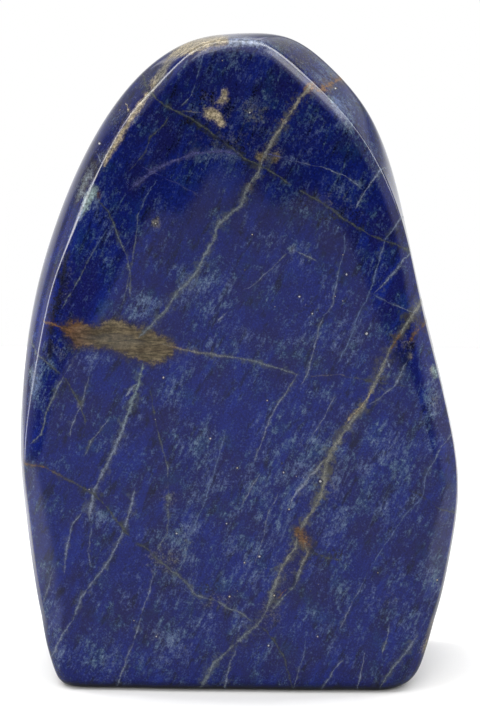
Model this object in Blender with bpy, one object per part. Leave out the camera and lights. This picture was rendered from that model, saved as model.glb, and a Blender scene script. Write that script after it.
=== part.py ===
"""Polished standing freeform of lapis lazuli: one solid stone that rests on its cut base.

Metres, +Z up. The glossy front faces -Y, and the origin is in the middle of the base.
The stone is a skin of closed rings. They run from the heart of the front, down its broad
roll and a narrow bevel to the front ridge, round the side wall and the back edge, and on to
the heart of the back.
"""
import bmesh
import bpy
import numpy as np

NODE = "lapis_stone"
MM = 0.001
TURN = 2.0 * np.pi

# Driving sizes, in millimetres
THICKNESS = 48.0
HALF_WIDTH = 45.2
HEART_X = 0.0
HEART_Z = 58.0

# Stations round the stone, anticlockwise from the middle of the base as seen from the front:
# the widest outline's x and z, then the front ridge's x and z
STATIONS = (
    (0.0, -0.2, 0.0, 0.9),
    (18.0, -0.2, 18.0, 0.9),
    (25.5, -0.2, 25.0, 0.9),
    (31.0, -0.1, 30.2, 1.0),
    (35.6, 1.8, 34.0, 2.8),
    (38.6, 7.4, 37.0, 8.6),
    (41.4, 16.5, 40.4, 17.9),
    (43.7, 28.0, 42.9, 29.0),
    (45.1, 41.4, 44.4, 42.3),
    (43.5, 54.2, 42.8, 55.0),
    (40.6, 66.5, 39.7, 67.8),
    (37.3, 79.3, 36.3, 81.5),
    (34.5, 91.6, 33.1, 95.2),
    (31.1, 105.5, 27.5, 108.5),
    (25.9, 117.7, 20.6, 118.0),
    (18.4, 126.6, 13.4, 125.1),
    (9.8, 132.5, 6.2, 131.0),
    (0.4, 133.4, 0.2, 132.3),
    (-9.5, 132.0, -8.6, 130.6),
    (-17.9, 127.3, -16.9, 122.7),
    (-25.9, 118.5, -22.4, 116.0),
    (-32.5, 107.4, -28.2, 105.2),
    (-37.7, 95.2, -33.3, 93.2),
    (-41.6, 82.4, -37.4, 82.9),
    (-43.9, 69.6, -40.4, 69.7),
    (-45.1, 56.0, -42.8, 56.3),
    (-45.2, 46.9, -43.6, 47.4),
    (-44.4, 36.5, -42.8, 37.8),
    (-42.8, 22.8, -41.3, 24.2),
    (-40.5, 10.2, -38.8, 12.1),
    (-38.4, 3.8, -36.8, 5.0),
    (-36.7, 0.8, -35.3, 1.9),
    (-33.0, -0.1, -32.0, 0.9),
    (-26.0, -0.2, -25.4, 0.9),
    (-17.0, -0.2, -16.8, 0.9),
)

# The front: its crown across and its faint lapping waves
FRONT_CROWN = 1.4
WAVE_HEIGHT = 0.05
WAVE_LENGTH_X = 27.0
WAVE_LENGTH_Z = 38.0
WAVE_SHIFT = 1.0

# The back: domed, leaning forward towards the top, and ground less evenly
BACK_CROWN = 5.0
BACK_LEAN = 8.0
BACK_LEAN_FROM = 50.0
BACK_LEAN_TO = 130.0
BACK_LEAN_POWER = 2.2
BACK_WAVE_HEIGHT = 0.35
BACK_WAVE_LENGTH_X = 61.0
BACK_WAVE_LENGTH_Z = 74.0
BACK_WAVE_SHIFT = 0.6

# Heights where the base edge ends and the flanks begin, where the flanks turn into the
# shoulders, and where the shoulders turn into the crest. The wall turns sooner than the front.
BASE_TOP = 2.0
FLANK_FOOT = 14.0
BACK_FLANK_FOOT = 48.0
FLANK_TOP = 50.0
SHOULDER_FOOT = 95.0
CREST_FOOT = 114.0
CREST_TOP = 131.0
WALL_CREST_FOOT = 100.0
WALL_CREST_TOP = 122.0

# Values at the base edge, the flanks, the shoulders and the crest, in that order
BEVEL_WIDTH = (1.3, 6.5, 2.8, 2.4)
BEVEL_DROP = (0.8, 2.3, 1.0, 1.3)
BEVEL_BLEND = (1.0, 1.0, 0.8, 0.6)
ROLL_WIDTH = (2.0, 9.0, 17.0, 27.0)
ROLL_DROP = (0.0, 0.3, 2.0, 3.2)
RIDGE_ROUND = (0.5, 0.35, 0.35, 0.7)
WIDEST_AFTER = (20.0, 9.0, 13.0, 11.0)
WALL_POWER = (13.0, 2.2, 2.2, 1.35)
BACK_INSET = (1.0, 6.0, 8.0, 14.0)
BACK_DROP = (0.8, 3.0, 3.0, 3.0)
BACK_BEVEL = (1.3, 9.0, 9.0, 9.0)
BACK_ROUND = (0.5, 4.0, 4.0, 4.0)
BACK_POWER = 2.6

# Rounding: where along the wall it grows from the ridge's to the back edge's, the samples
# in each mean and their reach in radii, and the clearance kept from each heart, in radii
ROUND_FROM = 0.1
ROUND_TO = 0.9
ROUND_SAMPLES = 9
ROUND_REACH = 2.0
HEART_CLEAR = 3.0

# The mesh: points round a ring, rings on the front, the wall and the back, how the front's
# and back's rings crowd towards the edges, how evenly the wall's rings lie, and the shares of
# the way out below which a ring has half, a quarter and an eighth of the points
AROUND = 160
FRONT_RINGS = 12
WALL_RINGS = 12
BACK_RINGS = 9
RING_CROWDING = 2.0
WALL_EVENNESS = 0.3
HALVE_AT = (0.52, 0.27, 0.14)

# The stone's mean look
COLOUR = (0.028, 0.034, 0.135, 1.0)
ROUGHNESS = 0.12
METALLIC = 0.0


def smooth_step(value, low, high):
    """Rises smoothly from 0 at low to 1 at high."""
    share = np.clip((value - low) / (high - low), 0.0, 1.0)
    return share * share * (3.0 - 2.0 * share)


def soft_ramp(share, blend):
    """0 below 0, then a ramp that starts over blend and reaches 1 at 1."""
    share = np.clip(share, 0.0, 1.0)
    start = np.minimum(share / blend, 1.0)
    rise = blend * (start ** 3 - 0.5 * start ** 4) + np.maximum(share - blend, 0.0)
    return rise / (1.0 - 0.5 * blend)


def closed_curve(stations, count):
    """A smooth closed curve through the stations, as count points at even steps along it."""
    points = np.array(stations)
    number = len(points)
    after = np.roll(points, -1, axis=0)
    steps = np.linalg.norm((after - points)[:, :2], axis=1)
    knots = np.concatenate(([0.0], np.cumsum(steps)))
    slopes = (after - points) / steps[:, None]
    system = np.zeros((number, number))
    for i in range(number):
        system[i, i - 1] = steps[i - 1]
        system[i, i] = 2.0 * (steps[i - 1] + steps[i])
        system[i, (i + 1) % number] = steps[i]
    bend = np.linalg.solve(system, 6.0 * (slopes - np.roll(slopes, 1, axis=0)))
    at = np.linspace(0.0, knots[-1], count, endpoint=False)
    i = np.searchsorted(knots, at, side="right") - 1
    j = (i + 1) % number
    step = steps[i][:, None]
    far = (at - knots[i])[:, None] / step
    near = 1.0 - far
    curved = ((near ** 3 - near) * bend[i] + (far ** 3 - far) * bend[j]) * step * step / 6.0
    return near * points[i] + far * points[j] + curved


def front_face(x, z):
    """Depth of the front before its roll and bevel drop away."""
    waves = np.sin(TURN * x / WAVE_LENGTH_X + WAVE_SHIFT) * np.cos(TURN * z / WAVE_LENGTH_Z)
    return -0.5 * THICKNESS + FRONT_CROWN * (x / HALF_WIDTH) ** 2 + WAVE_HEIGHT * waves


def back_face(x, z):
    """Depth of the domed back before its edge drops away."""
    lean = np.clip((z - BACK_LEAN_FROM) / (BACK_LEAN_TO - BACK_LEAN_FROM), 0.0, None)
    waves = np.sin(TURN * x / BACK_WAVE_LENGTH_X) * np.sin(TURN * z / BACK_WAVE_LENGTH_Z + BACK_WAVE_SHIFT)
    crown = BACK_CROWN * (x / HALF_WIDTH) ** 2
    return 0.5 * THICKNESS - crown - BACK_LEAN * lean ** BACK_LEAN_POWER + BACK_WAVE_HEIGHT * waves


class Loop:
    """The closed outlines, and what changes along them, as columns of count values."""

    def __init__(self, count):
        curve = closed_curve(STATIONS, count)
        self.wide_x, self.wide_z, self.ridge_x, self.ridge_z = (curve[:, [k]] for k in range(4))
        self.bevel = self.along(BEVEL_WIDTH, FLANK_FOOT)
        self.drop = self.along(BEVEL_DROP, FLANK_FOOT)
        self.blend = self.along(BEVEL_BLEND, FLANK_FOOT)
        self.roll = self.along(ROLL_WIDTH, FLANK_FOOT)
        self.roll_drop = self.along(ROLL_DROP, FLANK_FOOT)
        self.ridge_round = self.along(RIDGE_ROUND, FLANK_FOOT)
        self.widest_after = self.along(WIDEST_AFTER, FLANK_FOOT, WALL_CREST_FOOT, WALL_CREST_TOP)
        self.power = self.along(WALL_POWER, FLANK_FOOT, WALL_CREST_FOOT, WALL_CREST_TOP)
        self.back_drop = self.along(BACK_DROP, BACK_FLANK_FOOT)
        self.back_bevel = self.along(BACK_BEVEL, BACK_FLANK_FOOT)
        self.back_round = self.along(BACK_ROUND, BACK_FLANK_FOOT)
        self.place_back_edge(self.along(BACK_INSET, BACK_FLANK_FOOT))
        self.ridge_y = front_face(self.ridge_x, self.ridge_z) + self.drop + self.roll_drop
        self.back_y = back_face(self.back_x, self.back_z) - self.back_drop
        self.front_length = np.hypot(self.ridge_x - HEART_X, self.ridge_z - HEART_Z)
        self.back_length = np.hypot(self.back_x - HEART_X, self.back_z - HEART_Z)
        self.wall_length = self.back_y - self.ridge_y
        self.facing = self.ray_facing()

    def along(self, values, flank_foot, crest_foot=CREST_FOOT, crest_top=CREST_TOP):
        """Values at the base, flanks, shoulders and crest, blended by the outline's height."""
        flank = smooth_step(self.wide_z, BASE_TOP, flank_foot)
        shoulder = smooth_step(self.wide_z, FLANK_TOP, SHOULDER_FOOT)
        crest = smooth_step(self.wide_z, crest_foot, crest_top)
        value = values[0] + (values[1] - values[0]) * flank
        value = value + (values[2] - values[1]) * shoulder
        return value + (values[3] - values[2]) * crest

    def place_back_edge(self, inset):
        """The back edge lies inside the widest outline, towards the heart."""
        to_x = HEART_X - self.wide_x
        to_z = HEART_Z - self.wide_z
        length = np.hypot(to_x, to_z)
        self.back_x = self.wide_x + to_x / length * inset
        self.back_z = self.wide_z + to_z / length * inset

    def ray_facing(self):
        """How squarely the ray from the heart meets the ridge: 1 where it is at right angles."""
        run_x = np.roll(self.ridge_x, -1) - np.roll(self.ridge_x, 1)
        run_z = np.roll(self.ridge_z, -1) - np.roll(self.ridge_z, 1)
        ray_x = self.ridge_x - HEART_X
        ray_z = self.ridge_z - HEART_Z
        cross = np.abs(ray_x * run_z - ray_z * run_x)
        return cross / (np.hypot(run_x, run_z) * np.hypot(ray_x, ray_z))


def cap_point(share, edge_x, edge_z):
    """A point on the ray from the heart, at a share of the way to the edge."""
    return HEART_X + (edge_x - HEART_X) * share, HEART_Z + (edge_z - HEART_Z) * share


def sharp_front(loop, s):
    """Points of the front at a run s from its heart, with its broad roll and its bevel."""
    x, z = cap_point(np.clip(s / loop.front_length, 0.0, 1.0), loop.ridge_x, loop.ridge_z)
    from_ridge = (loop.front_length - s) * loop.facing
    drop = loop.drop * soft_ramp(1.0 - from_ridge / loop.bevel, loop.blend)
    drop = drop + loop.roll_drop * soft_ramp(1.0 - from_ridge / loop.roll, 1.0)
    return x, front_face(x, z) + drop, z


def sharp_skin(loop, s):
    """Points of the skin at a run s from the front's heart, before its edges are rounded."""
    back_start = loop.front_length + loop.wall_length
    full = back_start + loop.back_length
    front_x, front_y, front_z = sharp_front(loop, s)

    along = np.clip((s - loop.front_length) / loop.wall_length, 0.0, 1.0)
    widest = loop.widest_after / loop.wall_length
    before = np.clip(1.0 - along / widest, 0.0, 1.0) ** loop.power
    after = np.clip((along - widest) / (1.0 - widest), 0.0, 1.0) ** BACK_POWER
    wall_x = loop.wide_x + (loop.ridge_x - loop.wide_x) * before
    wall_x = wall_x + (loop.back_x - loop.wide_x) * after
    wall_z = loop.wide_z + (loop.ridge_z - loop.wide_z) * before
    wall_z = wall_z + (loop.back_z - loop.wide_z) * after
    wall_y = loop.ridge_y + loop.wall_length * along

    to_heart = np.clip((full - s) / loop.back_length, 0.0, 1.0)
    back_x, back_z = cap_point(to_heart, loop.back_x, loop.back_z)
    from_edge = (s - back_start) * loop.facing
    drop = loop.back_drop * soft_ramp(1.0 - from_edge / loop.back_bevel, 1.0)
    back_y = back_face(back_x, back_z) - drop

    on_front = s < loop.front_length
    on_back = s > back_start
    front = np.stack((front_x, front_y, front_z), axis=-1)
    wall = np.stack((wall_x, wall_y, wall_z), axis=-1)
    back = np.stack((back_x, back_y, back_z), axis=-1)
    return np.where(on_front[..., None], front, np.where(on_back[..., None], back, wall))


def skin(loop, s):
    """The sharp skin with its edges rounded, as a weighted mean of near points of each run."""
    full = loop.front_length + loop.wall_length + loop.back_length
    turn = smooth_step((s - loop.front_length) / loop.wall_length, ROUND_FROM, ROUND_TO)
    radius = loop.ridge_round + (loop.back_round - loop.ridge_round) * turn
    radius = np.minimum(radius, np.minimum(s, full - s) / HEART_CLEAR)
    total = 0.0
    weights = 0.0
    for offset in np.linspace(-ROUND_REACH, ROUND_REACH, ROUND_SAMPLES):
        weight = np.exp(-0.5 * offset * offset)
        total = total + weight * sharp_skin(loop, s + radius * offset)
        weights = weights + weight
    points = total / weights
    points[..., 2] = np.maximum(points[..., 2], 0.0)
    return points


def ring_runs(loop):
    """Runs from the front's heart to each ring, closer together near the edges."""
    runs = []
    for k in range(1, FRONT_RINGS):
        runs.append(loop.front_length * (1.0 - (1.0 - k / FRONT_RINGS) ** RING_CROWDING))
    for k in range(WALL_RINGS + 1):
        even = k / WALL_RINGS
        eased = 0.5 - 0.5 * np.cos(np.pi * even)
        share = WALL_EVENNESS * even + (1.0 - WALL_EVENNESS) * eased
        runs.append(loop.front_length + loop.wall_length * share)
    for k in range(1, BACK_RINGS):
        back = (k / BACK_RINGS) ** RING_CROWDING
        runs.append(loop.front_length + loop.wall_length + loop.back_length * back)
    return np.concatenate(runs, axis=1)


def points_to_skip(share):
    """A ring near a heart has half, a quarter or an eighth of the points."""
    return 2 ** sum(share < limit for limit in HALVE_AT)


def add_band(mesh, outer, inner):
    """Faces between two rings, where the inner has as many points as the outer or half."""
    count = len(outer)
    if len(inner) == count:
        for i in range(count):
            j = (i + 1) % count
            mesh.faces.new((outer[i], outer[j], inner[j], inner[i]))
        return
    for i in range(len(inner)):
        j = (i + 1) % len(inner)
        first, middle, last = outer[2 * i], outer[2 * i + 1], outer[(2 * i + 2) % count]
        mesh.faces.new((first, middle, inner[i]))
        mesh.faces.new((middle, inner[j], inner[i]))
        mesh.faces.new((middle, last, inner[j]))


def add_heart(mesh, ring, point):
    """Closes the innermost ring round one point."""
    heart = mesh.verts.new(point)
    for i in range(len(ring)):
        mesh.faces.new((ring[i], ring[(i + 1) % len(ring)], heart))


def stone_mesh():
    """The closed skin as a mesh, in metres."""
    loop = Loop(AROUND)
    runs = ring_runs(loop)
    points = skin(loop, runs) * MM
    mesh = bmesh.new()
    rings = []
    number = runs.shape[1]
    for k in range(number):
        share = 1.0
        if k < FRONT_RINGS - 1:
            share = 1.0 - (1.0 - (k + 1) / FRONT_RINGS) ** RING_CROWDING
        elif k >= number - BACK_RINGS + 1:
            share = 1.0 - ((k - (number - BACK_RINGS)) / BACK_RINGS) ** RING_CROWDING
        rings.append([mesh.verts.new(p) for p in points[::points_to_skip(share), k]])
    for k in range(number - 1):
        outer, inner = rings[k], rings[k + 1]
        if len(inner) > len(outer):
            outer, inner = inner, outer
        add_band(mesh, outer, inner)
    add_heart(mesh, rings[0], (HEART_X * MM, front_face(HEART_X, HEART_Z) * MM, HEART_Z * MM))
    add_heart(mesh, rings[-1], (HEART_X * MM, back_face(HEART_X, HEART_Z) * MM, HEART_Z * MM))
    bmesh.ops.recalc_face_normals(mesh, faces=mesh.faces)
    data = bpy.data.meshes.new(NODE)
    mesh.to_mesh(data)
    mesh.free()
    return data


def lapis_material():
    """Polished lapis: its mean deep blue, glossy and not metallic."""
    material = bpy.data.materials.new("polished_lapis")
    material.use_nodes = True
    shader = material.node_tree.nodes["Principled BSDF"]
    shader.inputs["Base Color"].default_value = COLOUR
    shader.inputs["Roughness"].default_value = ROUGHNESS
    shader.inputs["Metallic"].default_value = METALLIC
    return material


def main():
    for old in list(bpy.data.objects):
        bpy.data.objects.remove(old, do_unlink=True)
    data = stone_mesh()
    data.shade_smooth()
    data.materials.append(lapis_material())
    stone = bpy.data.objects.new(NODE, data)
    bpy.context.scene.collection.objects.link(stone)


main()
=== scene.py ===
import bpy
import numpy as np
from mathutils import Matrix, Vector


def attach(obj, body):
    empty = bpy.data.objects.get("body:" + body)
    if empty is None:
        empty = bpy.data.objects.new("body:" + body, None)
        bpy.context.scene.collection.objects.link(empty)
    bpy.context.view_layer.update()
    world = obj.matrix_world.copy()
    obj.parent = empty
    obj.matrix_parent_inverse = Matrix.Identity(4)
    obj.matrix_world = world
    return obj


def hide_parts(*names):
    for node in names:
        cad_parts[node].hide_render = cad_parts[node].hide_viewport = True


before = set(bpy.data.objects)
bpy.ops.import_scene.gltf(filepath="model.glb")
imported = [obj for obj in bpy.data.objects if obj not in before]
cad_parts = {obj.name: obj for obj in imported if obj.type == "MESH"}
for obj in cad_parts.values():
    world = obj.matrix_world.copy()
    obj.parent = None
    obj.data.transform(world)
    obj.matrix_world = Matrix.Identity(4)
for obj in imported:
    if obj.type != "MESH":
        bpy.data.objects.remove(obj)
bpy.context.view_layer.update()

# A polished standing freeform of lapis lazuli. The stone's skin is worked out in millimetres
# from the same stations and values as the solid that it replaces, with far more rings.
NODE = "lapis_stone"
MM = 0.001
TURN = 2.0 * np.pi

# Driving sizes, in millimetres
THICKNESS = 48.0
HALF_WIDTH = 45.2
HEART_X = 0.0
HEART_Z = 58.0

# Stations round the stone, anticlockwise from the middle of the base as seen from the front:
# the widest outline's x and z, then the front ridge's x and z
STATIONS = (
    (0.0, -0.2, 0.0, 0.9),
    (18.0, -0.2, 18.0, 0.9),
    (25.5, -0.2, 25.0, 0.9),
    (31.0, -0.1, 30.2, 1.0),
    (35.6, 1.8, 34.0, 2.8),
    (38.6, 7.4, 37.0, 8.6),
    (41.4, 16.5, 40.4, 17.9),
    (43.7, 28.0, 42.9, 29.0),
    (45.1, 41.4, 44.4, 42.3),
    (43.5, 54.2, 42.8, 55.0),
    (40.6, 66.5, 39.7, 67.8),
    (37.3, 79.3, 36.3, 81.5),
    (34.5, 91.6, 33.1, 95.2),
    (31.1, 105.5, 27.5, 108.5),
    (25.9, 117.7, 20.6, 118.0),
    (18.4, 126.6, 13.4, 125.1),
    (9.8, 132.5, 6.2, 131.0),
    (0.4, 133.4, 0.2, 132.3),
    (-9.5, 132.0, -8.6, 130.6),
    (-17.9, 127.3, -16.9, 122.7),
    (-25.9, 118.5, -22.4, 116.0),
    (-32.5, 107.4, -28.2, 105.2),
    (-37.7, 95.2, -33.3, 93.2),
    (-41.6, 82.4, -37.4, 82.9),
    (-43.9, 69.6, -40.4, 69.7),
    (-45.1, 56.0, -42.8, 56.3),
    (-45.2, 46.9, -43.6, 47.4),
    (-44.4, 36.5, -42.8, 37.8),
    (-42.8, 22.8, -41.3, 24.2),
    (-40.5, 10.2, -38.8, 12.1),
    (-38.4, 3.8, -36.8, 5.0),
    (-36.7, 0.8, -35.3, 1.9),
    (-33.0, -0.1, -32.0, 0.9),
    (-26.0, -0.2, -25.4, 0.9),
    (-17.0, -0.2, -16.8, 0.9),
)

# The front: its crown across and its faint lapping waves
FRONT_CROWN = 1.4
WAVE_HEIGHT = 0.05
WAVE_LENGTH_X = 27.0
WAVE_LENGTH_Z = 38.0
WAVE_SHIFT = 1.0

# The back: domed, leaning forward towards the top, and ground less evenly
BACK_CROWN = 5.0
BACK_LEAN = 8.0
BACK_LEAN_FROM = 50.0
BACK_LEAN_TO = 130.0
BACK_LEAN_POWER = 2.2
BACK_WAVE_HEIGHT = 0.35
BACK_WAVE_LENGTH_X = 61.0
BACK_WAVE_LENGTH_Z = 74.0
BACK_WAVE_SHIFT = 0.6

# Heights where the base edge ends and the flanks begin, where the flanks turn into the
# shoulders, and where the shoulders turn into the crest. The wall turns sooner than the front.
BASE_TOP = 2.0
FLANK_FOOT = 14.0
BACK_FLANK_FOOT = 48.0
FLANK_TOP = 50.0
SHOULDER_FOOT = 95.0
CREST_FOOT = 114.0
CREST_TOP = 131.0
WALL_CREST_FOOT = 100.0
WALL_CREST_TOP = 122.0

# Values at the base edge, the flanks, the shoulders and the crest, in that order
BEVEL_WIDTH = (1.3, 6.5, 2.8, 2.4)
BEVEL_DROP = (0.8, 2.3, 1.0, 1.3)
BEVEL_BLEND = (1.0, 1.0, 0.8, 0.6)
ROLL_WIDTH = (2.0, 9.0, 17.0, 27.0)
ROLL_DROP = (0.0, 0.3, 2.0, 3.2)
RIDGE_ROUND = (0.5, 0.35, 0.35, 0.7)
WIDEST_AFTER = (20.0, 9.0, 13.0, 11.0)
WALL_POWER = (13.0, 2.2, 2.2, 1.35)
BACK_INSET = (1.0, 6.0, 8.0, 14.0)
BACK_DROP = (0.8, 3.0, 3.0, 3.0)
BACK_BEVEL = (1.3, 9.0, 9.0, 9.0)
BACK_ROUND = (0.5, 4.0, 4.0, 4.0)
BACK_POWER = 2.6

# Rounding: where along the wall it grows from the ridge's to the back edge's, the samples
# in each mean and their reach in radii, and the clearance kept from each heart, in radii
ROUND_FROM = 0.1
ROUND_TO = 0.9
ROUND_SAMPLES = 9
ROUND_REACH = 2.0
HEART_CLEAR = 3.0

# The mesh: points round a ring, rings on the front, the wall and the back, how the front's
# and back's rings crowd towards the edges, how evenly the wall's rings lie, and the shares of
# the way out below which a ring has half, a quarter and an eighth of the points
AROUND = 576
FRONT_RINGS = 92
WALL_RINGS = 52
BACK_RINGS = 32
RING_CROWDING = 1.35
WALL_EVENNESS = 0.3
HALVE_AT = (0.52, 0.27, 0.14)

# The photo's frame, in pixels, and the camera that matches it, in millimetres and degrees
PHOTO_WIDTH = 480
PHOTO_HEIGHT = 720
FOCAL_PIXELS = 2280.0
SENSOR = 36.0
CAMERA_DISTANCE = 480.0
CAMERA_TURN = 2.0
CAMERA_LIFT = 8.0
LOOK_AT = (-0.3, 0.0, 65.3)
# The width of one of the photo's pixels at the stone, in millimetres
PIXEL = CAMERA_DISTANCE / FOCAL_PIXELS

# Colours as they look in the photo, as 8-bit red, green and blue
COLOURS = {
    "tan": (110, 106, 97),
    "rusty": (110, 80, 54),
    "reed": (108, 109, 104),
    "pale": (104, 113, 134),
    "frost": (116, 125, 146),
    "jade": (110, 126, 128),
    "sage": (96, 104, 112),
    "olive": (64, 69, 68),
    "dark": (24, 26, 44),
    "violet": (72, 74, 122),
    "cream": (146, 134, 110),
    "mint": (76, 92, 130),
    "leaf": (93, 83, 64),
    "bark": (90, 67, 52),
}
# How much brighter a white surface in the stone's place would look
LIGHT_GAIN = 1.05

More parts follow.
